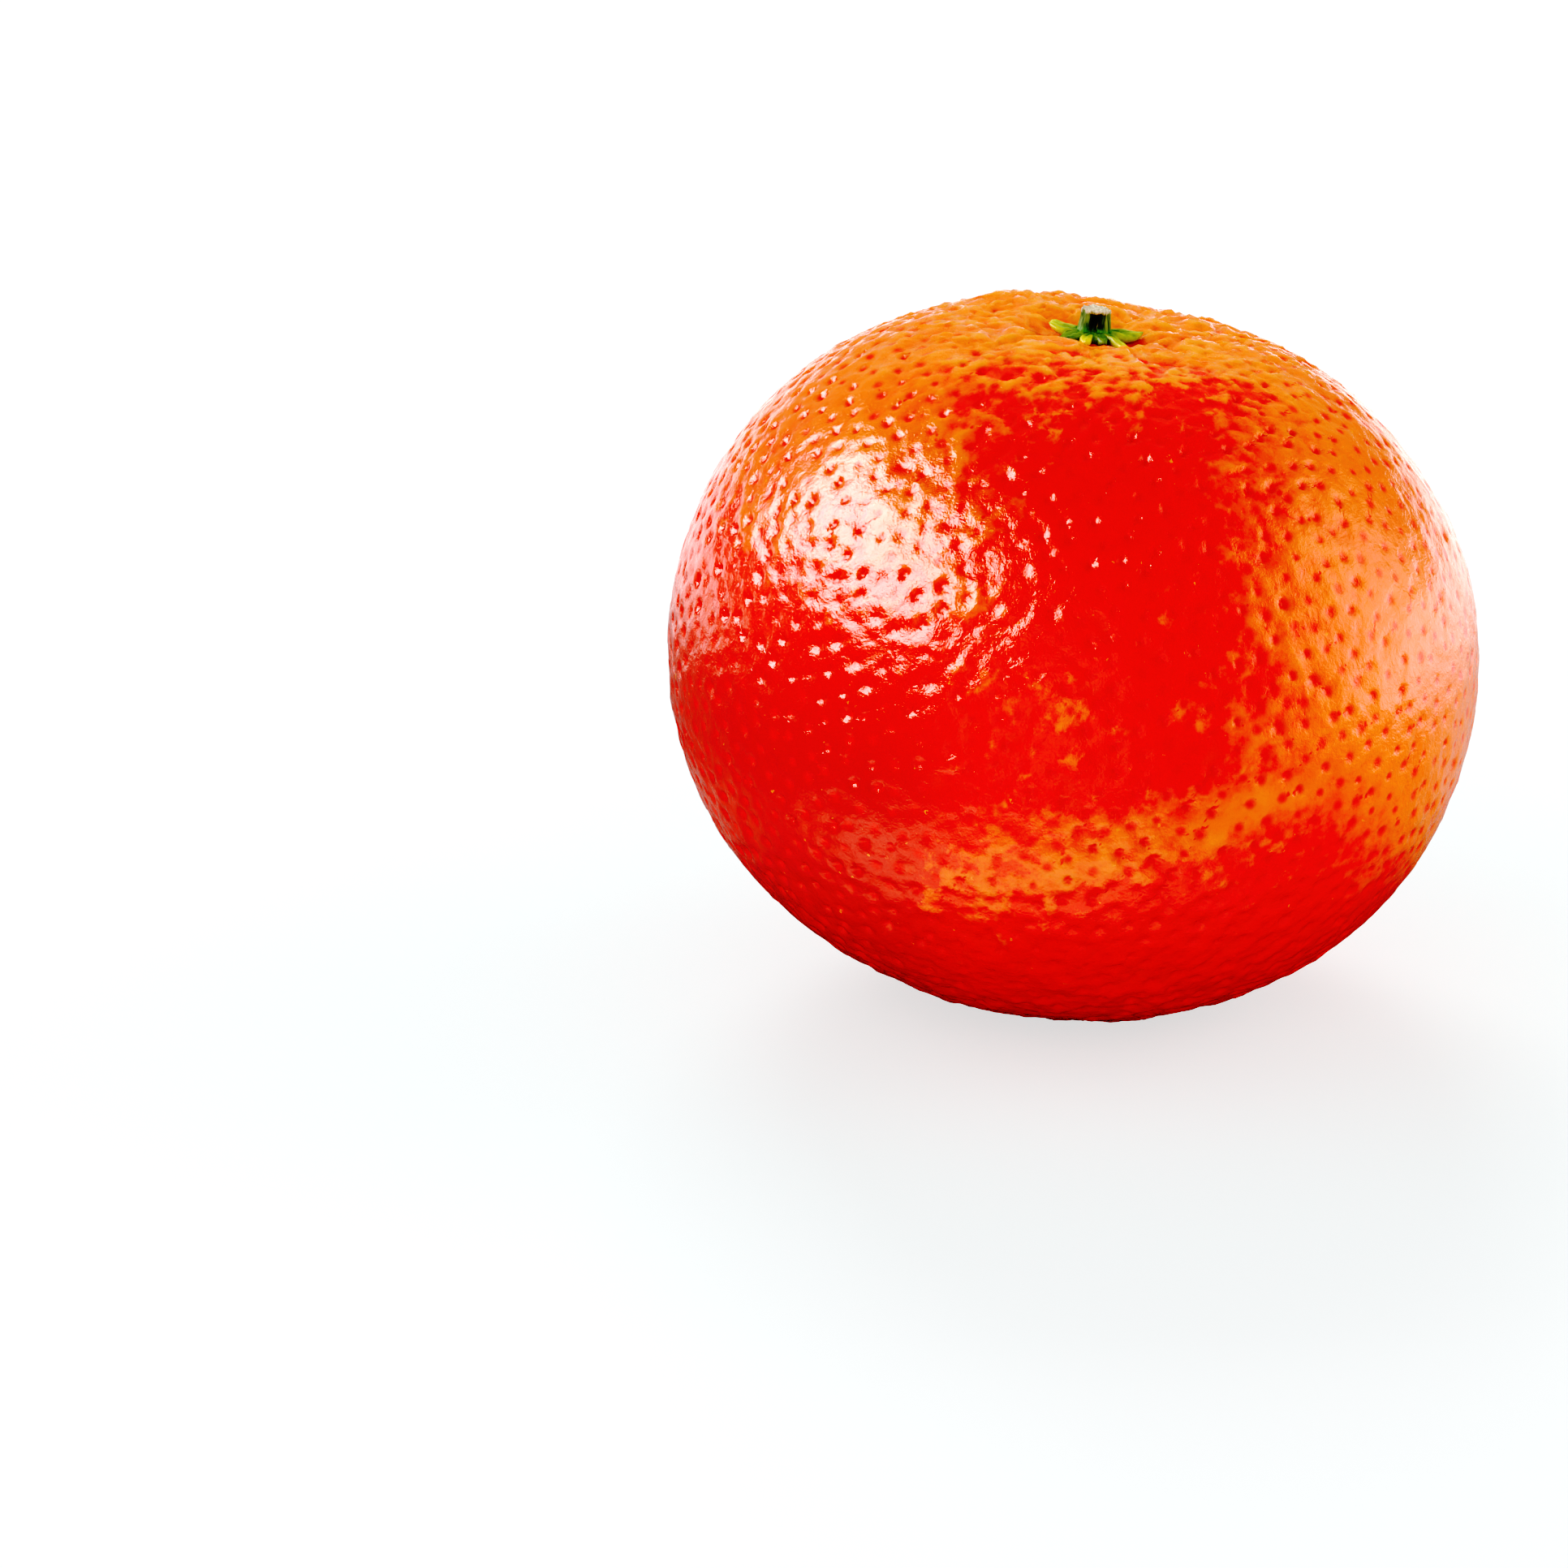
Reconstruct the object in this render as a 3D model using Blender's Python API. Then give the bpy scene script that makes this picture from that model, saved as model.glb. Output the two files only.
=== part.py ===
"""A whole mandarin at its real size, lying as it was picked: one closed fruit, its five-lobed green
calyx, and the cut stub of the stem. Metres, +Z up, origin at the centre of the flat rest spot.

The fruit is first shaped in its own frame, with the core along Z and its centre at the origin. It is
then leaned over towards +X and lowered until the rest spot lies on the plane Z = 0.
"""

import math

import bmesh
import bpy
from mathutils import Matrix, Vector

# Driving dimensions of the fruit.
EQUATOR_RADIUS = 0.0320  # core to skin, halfway up
STEM_END_RADIUS = 0.0286  # centre to the stem end of the core, before the basin is dented in
BLOSSOM_END_RADIUS = 0.0280  # centre to the blossom end
SHOULDER_FULLNESS = 2.08  # exponent of the outline: 2 is an ellipse, and more is squarer
LOBE_RISE = 0.00014  # how far the three broad sides stand out of round
LOBES = 3
LEAN = math.radians(8.0)  # how far the core leans towards +X when the fruit rests

# The dented end that holds the stem. It sits a little to one side of the core.
BASIN_CENTRE = Vector((-0.0021, 0.0008))
BASIN_DEPTH = 0.0031
BASIN_WIDTH = 0.0106
FURROW_DEPTH = 0.00040
FURROW_REACH = 0.0052  # distance from the stem at which a furrow is deepest
FURROW_HALF_ANGLE = math.radians(9.0)
FURROW_AZIMUTHS = [math.radians(a) for a in (-28, 21, 58, 104, 142, 176, 219, 262, 301)]

# The small flat spot that the fruit rests on.
REST_SPOT_RADIUS = 0.0065
REST_EDGE_ROUNDING = 0.00025  # height over which the flat spot rolls into the skin

# The calyx, a thin green star on the bottom of the basin.
CALYX_DISC_RADIUS = 0.0022
CALYX_THICKNESS = 0.0006
CALYX_LOBE_REACH = {5: 0.0039, 95: 0.0036, 178: 0.0040, 225: 0.0041, 312: 0.0038}  # by azimuth
CALYX_LOBE_HALF_ANGLE = math.radians(25.0)

# The stem stub, which stands on the calyx and keeps the core's direction.
STEM_BASE_RADIUS = 0.00155
STEM_TOP_RADIUS = 0.00125
STEM_HEIGHT = 0.0011
STEM_RIDGES = 7
STEM_RIDGE_HEIGHT = 0.00008

CLEARANCE = 0.0003  # gap between touching pieces

# How finely the faceted solids are divided.
SKIN_COLUMNS, SKIN_ROWS = 72, 44
ROW_CROWDING = 0.45  # how much closer the rows lie at the two ends than halfway up
CALYX_COLUMNS, CALYX_ROWS = 90, 12
STEM_COLUMNS, STEM_ROWS = 42, 6


def outline_radius(polar):
    """Distance from the fruit's centre to its plain outline, at an angle from the core."""
    end_radius = STEM_END_RADIUS if polar < math.pi / 2 else BLOSSOM_END_RADIUS
    across = abs(math.sin(polar)) / EQUATOR_RADIUS
    along = abs(math.cos(polar)) / end_radius
    return (across**SHOULDER_FULLNESS + along**SHOULDER_FULLNESS) ** (-1 / SHOULDER_FULLNESS)


def furrow_depth(distance, azimuth):
    """Depth of the furrows that radiate from the stem, at a distance and azimuth from it."""
    swell = distance / FURROW_REACH * math.exp(1 - distance / FURROW_REACH)
    depth = 0.0
    for furrow in FURROW_AZIMUTHS:
        off = math.remainder(azimuth - furrow, math.tau) / FURROW_HALF_ANGLE
        depth += math.exp(-off * off)
    return FURROW_DEPTH * swell**2 * depth


def basin_depth(x, y):
    """How far the stem end is dented below the plain outline."""
    distance = math.hypot(x - BASIN_CENTRE.x, y - BASIN_CENTRE.y)
    azimuth = math.atan2(y - BASIN_CENTRE.y, x - BASIN_CENTRE.x)
    bowl = BASIN_DEPTH * math.exp(-((distance / BASIN_WIDTH) ** 2))
    return bowl + furrow_depth(distance, azimuth)


def skin_point(polar, azimuth):
    """A point on the skin in the fruit's own frame."""
    sideways = math.sin(polar)
    lobing = LOBE_RISE * sideways**2 * math.cos(LOBES * azimuth)
    radius = outline_radius(polar) + lobing
    x = radius * sideways * math.cos(azimuth)
    y = radius * sideways * math.sin(azimuth)
    z = radius * math.cos(polar)
    if z > 0:
        z -= basin_depth(x, y)
    return Vector((x, y, z))


def basin_height(x, y):
    """Height of the skin near the stem, in the fruit's own frame."""
    across = (math.hypot(x, y) / EQUATOR_RADIUS) ** SHOULDER_FULLNESS
    return STEM_END_RADIUS * (1 - across) ** (1 / SHOULDER_FULLNESS) - basin_depth(x, y)


def resting_matrix():
    """Leans the fruit over and sets the middle of its rest spot on the origin."""
    lowest = math.hypot(EQUATOR_RADIUS * math.sin(LEAN), BLOSSOM_END_RADIUS * math.cos(LEAN))
    oblateness = EQUATOR_RADIUS**2 - BLOSSOM_END_RADIUS**2
    lowest_x = oblateness * math.sin(LEAN) * math.cos(LEAN) / lowest
    across = (REST_SPOT_RADIUS / EQUATOR_RADIUS) ** SHOULDER_FULLNESS
    pressed = BLOSSOM_END_RADIUS * (1 - (1 - across) ** (1 / SHOULDER_FULLNESS))
    lift = lowest - pressed - REST_EDGE_ROUNDING
    return Matrix.Translation((-lowest_x, 0, lift)) @ Matrix.Rotation(LEAN, 4, "Y")


def flattened(point):
    """The point with everything below the rest plane pressed flat onto it, in a soft roll."""
    edge = REST_EDGE_ROUNDING
    if point.z <= -edge:
        point.z = 0.0
    elif point.z < edge:
        point.z = (point.z + edge) ** 2 / (4 * edge)
    return point


def calyx_reach(azimuth):
    """Distance from the calyx's middle to its rim: a round disc with pointed lobes."""
    reach = CALYX_DISC_RADIUS
    for degrees, tip in CALYX_LOBE_REACH.items():
        off = abs(math.remainder(azimuth - math.radians(degrees), math.tau))
        if off < CALYX_LOBE_HALF_ANGLE * 2:
            lobe = math.cos(off / CALYX_LOBE_HALF_ANGLE * math.pi / 4) ** 2
            reach = max(reach, CALYX_DISC_RADIUS + (tip - CALYX_DISC_RADIUS) * lobe)
    return reach


def stem_radius(share):
    """Radius of the stem stub at a share of its height: it narrows from its foot to its cut top."""
    return STEM_TOP_RADIUS + (STEM_BASE_RADIUS - STEM_TOP_RADIUS) * (1 - share) ** 1.5


def calyx_top():
    """Height of the calyx's upper face at the stem, in the fruit's own frame."""
    middle = basin_height(BASIN_CENTRE.x, BASIN_CENTRE.y)
    return middle + CLEARANCE + CALYX_THICKNESS


def material(name, colour, roughness):
    made = bpy.data.materials.new(name)
    made.use_nodes = True
    shader = made.node_tree.nodes["Principled BSDF"]
    shader.inputs["Base Color"].default_value = (*colour, 1.0)
    shader.inputs["Roughness"].default_value = roughness
    shader.inputs["Metallic"].default_value = 0.0
    return made


def add_piece(name, shape, collection, finish):
    """Turns a finished bmesh into a named, smooth-shaded object at the origin."""
    mesh = bpy.data.meshes.new(name)
    shape.to_mesh(mesh)
    shape.free()
    mesh.shade_smooth()
    mesh.set_sharp_from_angle(angle=math.radians(50))
    mesh.materials.append(finish)
    piece = bpy.data.objects.new(name, mesh)
    collection.objects.link(piece)
    return piece


def make_fruit(resting):
    """The peel and flesh, one closed solid: a sphere whose points move out to the skin."""
    shape = bmesh.new()
    bmesh.ops.create_uvsphere(shape, u_segments=SKIN_COLUMNS, v_segments=SKIN_ROWS, radius=1)
    for vertex in shape.verts:
        polar = math.acos(max(-1.0, min(1.0, vertex.co.z)))
        polar -= ROW_CROWDING * math.sin(2 * polar) / 2
        azimuth = math.atan2(vertex.co.y, vertex.co.x)
        vertex.co = flattened(resting @ skin_point(polar, azimuth))
    return shape


def make_calyx(resting):
    """A thin star that follows the basin. Its rim is lens-shaped, and its lobes are uneven."""
    shape = bmesh.new()
    bmesh.ops.create_uvsphere(shape, u_segments=CALYX_COLUMNS, v_segments=CALYX_ROWS, radius=1)
    for vertex in shape.verts:
        outwards = math.hypot(vertex.co.x, vertex.co.y)
        azimuth = math.atan2(vertex.co.y, vertex.co.x)
        distance = outwards * calyx_reach(azimuth)
        x = BASIN_CENTRE.x + distance * math.cos(azimuth)
        y = BASIN_CENTRE.y + distance * math.sin(azimuth)
        up = CLEARANCE + CALYX_THICKNESS * (1 + vertex.co.z) / 2
        vertex.co = resting @ Vector((x, y, basin_height(x, y) + up))
    return shape


def make_stem(resting):
    """The stub left by the picker: a low ridged post with a flat cut top."""
    shape = bmesh.new()
    bmesh.ops.create_cone(
        shape, cap_ends=True, segments=STEM_COLUMNS, radius1=1, radius2=1, depth=1
    )
    uprights = [e for e in shape.edges if abs(e.verts[0].co.z - e.verts[1].co.z) > 0.5]
    bmesh.ops.subdivide_edges(shape, edges=uprights, cuts=STEM_ROWS - 1, use_grid_fill=True)
    foot = calyx_top() + CLEARANCE
    for vertex in shape.verts:
        share = vertex.co.z + 0.5
        azimuth = math.atan2(vertex.co.y, vertex.co.x)
        radius = stem_radius(share) + STEM_RIDGE_HEIGHT * math.cos(STEM_RIDGES * azimuth)
        x = BASIN_CENTRE.x + radius * math.cos(azimuth)
        y = BASIN_CENTRE.y + radius * math.sin(azimuth)
        vertex.co = resting @ Vector((x, y, foot + share * STEM_HEIGHT))
    return shape


def main():
    for old in list(bpy.data.objects):
        bpy.data.objects.remove(old)
    mandarin = bpy.data.collections.new("mandarin")
    bpy.context.scene.collection.children.link(mandarin)

    peel = material("glossy_peel", (0.86, 0.085, 0.006), 0.32)
    green = material("calyx_green", (0.30, 0.42, 0.03), 0.50)
    wood = material("stem_wood", (0.10, 0.16, 0.03), 0.75)

    resting = resting_matrix()
    add_piece("fruit", make_fruit(resting), mandarin, peel)
    add_piece("calyx", make_calyx(resting), mandarin, green)
    add_piece("stem_stub", make_stem(resting), mandarin, wood)


main()
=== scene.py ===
# %% [markdown]
# # A mandarin, modelled and lit
#
# This lesson rebuilds one whole mandarin: a slightly flattened fruit with glossy, pitted peel, the
# green calyx left at its top, and the short stub of its stem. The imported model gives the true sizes
# and places. Each cell below adds one thing to it: the light, the floor, the skin with its oil
# glands, the calyx, the stem, and a finish for each of them.

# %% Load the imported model
import math

import bmesh
import bpy
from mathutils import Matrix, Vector, noise
from mathutils.bvhtree import BVHTree


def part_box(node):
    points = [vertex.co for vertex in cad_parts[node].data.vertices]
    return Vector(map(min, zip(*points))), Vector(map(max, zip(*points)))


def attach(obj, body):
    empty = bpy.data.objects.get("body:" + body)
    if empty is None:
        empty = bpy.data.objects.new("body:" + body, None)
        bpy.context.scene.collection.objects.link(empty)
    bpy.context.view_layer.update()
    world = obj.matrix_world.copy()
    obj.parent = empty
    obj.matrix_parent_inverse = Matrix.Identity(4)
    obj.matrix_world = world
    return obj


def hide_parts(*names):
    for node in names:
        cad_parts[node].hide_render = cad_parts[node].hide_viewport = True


MM = 0.001
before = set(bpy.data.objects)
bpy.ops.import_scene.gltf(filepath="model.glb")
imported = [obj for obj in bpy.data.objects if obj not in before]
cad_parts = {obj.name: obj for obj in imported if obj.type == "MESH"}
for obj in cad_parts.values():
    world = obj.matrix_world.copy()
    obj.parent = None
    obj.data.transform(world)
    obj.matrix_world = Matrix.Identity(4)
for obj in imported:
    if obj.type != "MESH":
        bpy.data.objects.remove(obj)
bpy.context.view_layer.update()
scene = bpy.context.scene

# %% [markdown]
# ## Where the fruit's own parts are
#
# Everything later is placed from the model, so that it still fits if the model changes. The middle of
# the fruit is the middle of its box. The fruit's core leans a few degrees to the right, and the calyx
# and the stem stub both lie on it, so the calyx's middle is reached from the stem's by going down the
# core. Where the core's line meets the floor is the blossom end.

# %% Landmarks


def middle_of(node):
    low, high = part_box(node)
    return (low + high) / 2


fruit_middle = middle_of("fruit")
stem_middle = middle_of("stem_stub")
CORE_LEAN = math.radians(8.0)
core = Vector((math.sin(CORE_LEAN), 0.0, math.cos(CORE_LEAN)))
core_side = Vector((math.cos(CORE_LEAN), 0.0, -math.sin(CORE_LEAN)))
core_back = core.cross(core_side)
down_to_calyx = (stem_middle.z - middle_of("calyx").z) / core.z
calyx_middle = stem_middle - core * down_to_calyx
blossom_end = Vector((fruit_middle.x - core.x * fruit_middle.z / core.z, fruit_middle.y, 0.0))
print("fruit middle", fruit_middle, "calyx middle", calyx_middle, "blossom end", blossom_end)

# %% [markdown]
# ## The camera
#
# A long lens from half a metre away, looking down at 18 degrees. The camera is moved a little to the
# left and down from the line to its aim, so the fruit lies right of the middle of the picture and high
# in it, with free space in front for its shadow.

# %% Camera
CAMERA_ELEVATION = math.radians(18.0)
CAMERA_DISTANCE = 515.1 * MM
LENS_LENGTH, SENSOR_WIDTH = 150.0, 36.0
AIM_HEIGHT = 27.0 * MM
SIDE_STEP = 23.76 * MM
STEP_DOWN = 9.83 * MM

camera_data = bpy.data.cameras.new("camera")
camera_data.lens = LENS_LENGTH
camera_data.sensor_width = SENSOR_WIDTH
camera_data.clip_start = 0.01
camera_data.clip_end = 50.0
camera = bpy.data.objects.new("camera", camera_data)
scene.collection.objects.link(camera)
back = Vector((0.0, -math.cos(CAMERA_ELEVATION), math.sin(CAMERA_ELEVATION)))
up = Vector((0.0, math.sin(CAMERA_ELEVATION), math.cos(CAMERA_ELEVATION)))
aim = Vector((0.0, 0.0, AIM_HEIGHT))
camera.location = aim + back * CAMERA_DISTANCE - Vector((SIDE_STEP, 0.0, 0.0)) - up * STEP_DOWN
camera.rotation_euler = (math.pi / 2 - CAMERA_ELEVATION, 0.0, 0.0)
scene.camera = camera
print("camera at", camera.location)

# %% [markdown]
# ## Short calls for node trees
#
# Node trees are built in the script, so three short calls keep it readable. add_node makes a node,
# sets its settings, and fills its inputs: a number or colour is set on the socket, and an output of
# another node is wired to it. A name can stand for several sockets of one node, of which only one is
# in use, so sockets are looked up among those in use.

# %% Calls for node trees


def in_use(sockets, key):
    if isinstance(key, int):
        return sockets[key]
    return next(s for s in sockets if s.name == key and s.enabled)


def add_node(tree, kind, fill=None, **settings):
    made = tree.nodes.new(kind)
    for name, value in settings.items():
        setattr(made, name, value)
    for key, value in (fill or {}).items():
        socket = in_use(made.inputs, key)
        if isinstance(value, bpy.types.NodeSocket):
            tree.links.new(value, socket)
        else:
            socket.default_value = value
    return made


def out(made, key=0):
    return in_use(made.outputs, key)


def calc(tree, operation, *values):
    """The result of a Math node."""
    return out(add_node(tree, "ShaderNodeMath", dict(enumerate(values)), operation=operation))


def times(tree, first, *others):
    """All the values multiplied."""
    for other in others:
        first = calc(tree, "MULTIPLY", first, other)
    return first


def plus(tree, first, *others):
    """All the values added."""
    for other in others:
        first = calc(tree, "ADD", first, other)
    return first


def minus(tree, first, second):
    return calc(tree, "SUBTRACT", first, second)


def off_line(tree, value, line):
    """How far a value is from a line, to either side."""
    return calc(tree, "ABSOLUTE", minus(tree, value, line))


def vector_calc(tree, operation, *values, result=0):
    """The result of a Vector Math node. LENGTH, DISTANCE and DOT_PRODUCT come out as Value."""
    made = add_node(tree, "ShaderNodeVectorMath", dict(enumerate(values)), operation=operation)
    return out(made, result)


def ease(tree, value, low, high, at_low=0.0, at_high=1.0):
    """A smooth step: at_low where value is under low, at_high where it is over high."""
    fill = {"Value": value, "From Min": low, "From Max": high, "To Min": at_low, "To Max": at_high}
    return out(add_node(tree, "ShaderNodeMapRange", fill, interpolation_type="SMOOTHSTEP"))


def blend_colour(tree, share, first, second):
    """The first colour where share is none, and the second where it is one."""
    fill = {"Factor": share, "A": first, "B": second}
    return out(add_node(tree, "ShaderNodeMix", fill, data_type="RGBA"), "Result")


def noise_value(tree, place, size, detail=2.0, roughness=0.5, distortion=0.0):
    """Noise from 0 to 1, whose lumps are about size metres wide."""
    fill = {
        "Vector": place,
        "Scale": 1.0 / size,
        "Detail": detail,
        "Roughness": roughness,
        "Distortion": distortion,
    }
    return out(add_node(tree, "ShaderNodeTexNoise", fill), 0)


# %% [markdown]
# ## Picture tones
#
# Peel is saturated, and a soft film curve would turn it pale. So the plain view is used, with one
# print curve. The darkest tones are pulled down almost to black, which keeps green and blue out of the
# red. The curve then climbs steeply, and middle and light tones stay nearly as they are.

# %% View settings
PRINT_CURVE = [
    (0.06, 0.002),
    (0.10, 0.005),
    (0.135, 0.028),
    (0.18, 0.11),
    (0.25, 0.225),
    (0.35, 0.36),
    (0.60, 0.62),
]

scene.view_settings.view_transform = "Standard"
scene.view_settings.look = "None"
scene.view_settings.use_curve_mapping = True
curves = scene.view_settings.curve_mapping
curves.extend = "EXTRAPOLATED"
tone_curve = curves.curves[3]
for tone_in, tone_out in PRINT_CURVE:
    tone_curve.points.new(tone_in, tone_out)
curves.update()
print("print curve points:", len(tone_curve.points))

# %% [markdown]
# ## The room that the peel reflects
#
# Glossy fruit shows its surroundings. The set is a plain studio: a soft box to the left, a wide pale
# panel to the right, a pale wall low behind with a faint glow above it, and a narrow bright strip low
# in front. All else is dim. The box is a light. The others have soft edges, so they are painted on the
# world by direction, and only reflections see them. What lights the fruit evenly is a plain pale sky,
# and behind the fruit the camera sees white.

# %% World
SKY = 0.635
GLOSSY_DARK = 0.33
BACKDROP, BACKDROP_TOP = 2.5, 0.07
FRONT_STRIP, STRIP_ACROSS = 1.5, -0.10
# Direction of the middle, degrees to where it fades and to where it ends, strength.
RIGHT_PANEL = ((0.97, 0.08, 0.21), 5, 36, 1.75)
HIGH_GLOW = ((-0.25, 0.80, 0.60), 25, 55, 0.20)
WHITE = (1.0, 1.0, 1.0, 1.0)


def soft_spot(tree, direction, centre, inner, outer, strength):
    """A round soft-edged patch of light in the sky. The angles are in degrees from its centre."""
    axis = Vector(centre).normalized()
    facing = vector_calc(tree, "DOT_PRODUCT", direction, tuple(axis), result="Value")
    rise = math.cos(math.radians(outer))
    full = math.cos(math.radians(inner))
    return ease(tree, facing, rise, full, 0.0, strength)


world = bpy.data.worlds.new("studio")
scene.world = world
world.use_nodes = True
sky = world.node_tree
sky.nodes.clear()
towards = out(add_node(sky, "ShaderNodeTexCoord"), "Generated")
spots = [soft_spot(sky, towards, *spot) for spot in (RIGHT_PANEL, HIGH_GLOW)]
parts = add_node(sky, "ShaderNodeSeparateXYZ", {0: towards})
across, behind, elevation = out(parts, "X"), out(parts, "Y"), out(parts, "Z")
wall = times(
    sky,
    ease(sky, elevation, 0.0, BACKDROP_TOP, BACKDROP, 0.0),
    ease(sky, across, 0.2, 0.7, 1.0, 0.8),
    ease(sky, behind, -0.1, 0.35),
)
strip = times(
    sky,
    ease(sky, off_line(sky, across, STRIP_ACROSS), 0.06, 0.17, FRONT_STRIP, 0.0),
    ease(sky, behind, -0.8, -0.9),
    ease(sky, elevation, 0.22, 0.42, 1.0, 0.0),
)
glow = plus(sky, GLOSSY_DARK, *spots, wall, strip)
rays = add_node(sky, "ShaderNodeLightPath")
level = plus(sky, times(sky, out(rays, "Is Glossy Ray"), minus(sky, glow, SKY)), SKY)
level = calc(sky, "MAXIMUM", level, out(rays, "Is Camera Ray"))
shine = add_node(sky, "ShaderNodeBackground", {"Color": WHITE, "Strength": level})
add_node(sky, "ShaderNodeOutputWorld", {"Surface": out(shine)})
print("world nodes:", len(sky.nodes))

# %% [markdown]
# ## The lights
#
# The soft box to the left is there for its reflection, and it lights nothing else. Four more lights
# shape the fruit without being reflected: a key from behind that throws the shadow forwards, and weak
# fills from the left, the right and the front.

# %% Lights
# Name, direction from the fruit, distance, width and height in metres, watts.
REFLECTED_LIGHTS = [
    ("left_box", (-0.77, -0.17, 0.61), 1.1, 1.45, 0.58, 28.5),
]
UNREFLECTED_LIGHTS = [
    ("left_fill", (-0.81, -0.03, 0.59), 1.1, 0.9, 0.6, 2.0),
    ("right_fill", (0.93, 0.20, 0.30), 1.2, 0.8, 0.8, 4.5),
    ("front_fill", (-0.15, -0.90, 0.42), 1.2, 0.9, 0.9, 3.2),
    ("back_key", (-0.10, 0.84, 0.53), 1.6, 0.7, 0.7, 18.0),
]


def soft_box(name, direction, distance, width, height, power):
    """A rectangular light that faces the middle of the fruit."""
    data = bpy.data.lights.new(name, "AREA")
    data.shape = "RECTANGLE"
    data.size = width
    data.size_y = height
    data.energy = power
    box = bpy.data.objects.new(name, data)
    scene.collection.objects.link(box)
    box.location = fruit_middle + Vector(direction).normalized() * distance
    box.rotation_euler = (fruit_middle - box.location).to_track_quat("-Z", "Y").to_euler()
    box.visible_camera = False
    return box


for light in REFLECTED_LIGHTS:
    soft_box(*light).visible_diffuse = False
for light in UNREFLECTED_LIGHTS:
    soft_box(*light).visible_glossy = False

# %% [markdown]
# ## The floor
#
# A plain pale floor that reads as white paper. It glows a little by itself, so the fruit's shadow
# stays a light grey, as on a light table. The fruit throws a warm light on the paper near it, and a
# cooler tint there keeps the shadow from turning pink.
#
# Reflections see the same floor as a few bright parts: a ring round the fruit that is brightest at
# the left and fades to the front, the far floor to the right and at the back, a strip far in front, an
# even weak light everywhere but under the fruit, and a little more near the right.

# %% Floor
FLOOR_REACH = 4.0
PAPER_GLOW = 0.64
PAPER_COLOUR = (0.305, 0.335, 0.338, 1.0)
NEAR_COLOUR = (0.265, 0.325, 0.328, 1.0)
BOUNCE_COLOUR = (0.92, 0.92, 0.92, 1.0)
FAR_RIGHT_LINE = 25 * MM
STRIP_LINE = -22 * MM

paper = bpy.data.materials.new("pale_paper")
paper.use_nodes = True
tree = paper.node_tree
tree.nodes.clear()
place = out(add_node(tree, "ShaderNodeTexCoord"), "Object")
away = vector_calc(tree, "LENGTH", place, result="Value")
spot = add_node(tree, "ShaderNodeSeparateXYZ", {0: place})
spot_x, spot_y = out(spot, "X"), out(spot, "Y")
ring = times(
    tree,
    ease(tree, away, 32 * MM, 42 * MM),
    ease(tree, away, 54 * MM, 66 * MM, 1.0, 0.1),
    ease(tree, spot_x, 2 * MM, 32 * MM, 1.55, 0.15),
    ease(tree, spot_y, -32 * MM, -14 * MM, 1.0, 0.1),
)
far_right = times(
    tree,
    ease(tree, spot_x, 75 * MM, 230 * MM, 0.0, 2.1),
    ease(tree, off_line(tree, spot_y, FAR_RIGHT_LINE), 40 * MM, 170 * MM, 1.0, 0.1),
)
far_back = ease(tree, spot_y, 70 * MM, 200 * MM, 0.0, 1.4)
far_front = times(
    tree,
    ease(tree, off_line(tree, spot_x, STRIP_LINE), 12 * MM, 42 * MM, 1.0, 0.0),
    ease(tree, spot_y, -130 * MM, -90 * MM, 1.0, 0.0),
)
open_floor = ease(tree, away, 16 * MM, 60 * MM, 0.0, 0.33)
near_right = times(
    tree,
    ease(tree, spot_x, 25 * MM, 60 * MM, 0.0, 0.3),
    ease(tree, spot_y, 0.0, 25 * MM),
)
strength = plus(tree, ring, far_right, far_back, far_front, open_floor, near_right)
reflected = add_node(tree, "ShaderNodeEmission", {"Color": WHITE, "Strength": strength})
near = ease(tree, away, 40 * MM, 90 * MM, 1.0, 0.0)
paper_colour = blend_colour(tree, near, PAPER_COLOUR, NEAR_COLOUR)
lit = add_node(tree, "ShaderNodeBsdfDiffuse", {"Color": paper_colour})
glowing = add_node(tree, "ShaderNodeEmission", {"Color": WHITE, "Strength": PAPER_GLOW})
light_table = add_node(tree, "ShaderNodeAddShader", {0: out(lit), 1: out(glowing)})
bounce = add_node(tree, "ShaderNodeBsdfDiffuse", {"Color": BOUNCE_COLOUR})
rays = add_node(tree, "ShaderNodeLightPath")
unseen = add_node(
    tree, "ShaderNodeMixShader", {0: out(rays, "Is Glossy Ray"), 1: out(bounce), 2: out(reflected)}
)
chosen = add_node(
    tree, "ShaderNodeMixShader", {0: out(rays, "Is Camera Ray"), 1: out(unseen), 2: out(light_table)}
)
add_node(tree, "ShaderNodeOutputMaterial", {"Surface": out(chosen)})

floor_mesh = bpy.data.meshes.new("floor")
sheet = bmesh.new()
bmesh.ops.create_grid(sheet, x_segments=4, y_segments=4, size=FLOOR_REACH)
sheet.to_mesh(floor_mesh)
sheet.free()
floor = bpy.data.objects.new("floor", floor_mesh)
scene.collection.objects.link(floor)
floor_mesh.materials.append(paper)
print("floor is", FLOOR_REACH * 2, "m wide")

# %% [markdown]
# ## An effect that all three finishes share: mottling
#
# Nothing that grew has one even colour. The mottling group mixes two colours by a cloudy noise, at a
# size and a contrast that each material chooses. It is built once as a node group, and each material
# below uses it with its own values.

# %% Shared group: mottling


def new_group(name, inputs, outputs):
    """An empty shader node group with named sockets: {name: (kind, default)} and {name: kind}."""
    group = bpy.data.node_groups.new(name, "ShaderNodeTree")
    for socket_name, (kind, default) in inputs.items():
        made = group.interface.new_socket(socket_name, in_out="INPUT", socket_type=kind)
        if default is not None:
            made.default_value = default
    for socket_name, kind in outputs.items():
        group.interface.new_socket(socket_name, in_out="OUTPUT", socket_type=kind)
    return group


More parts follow.
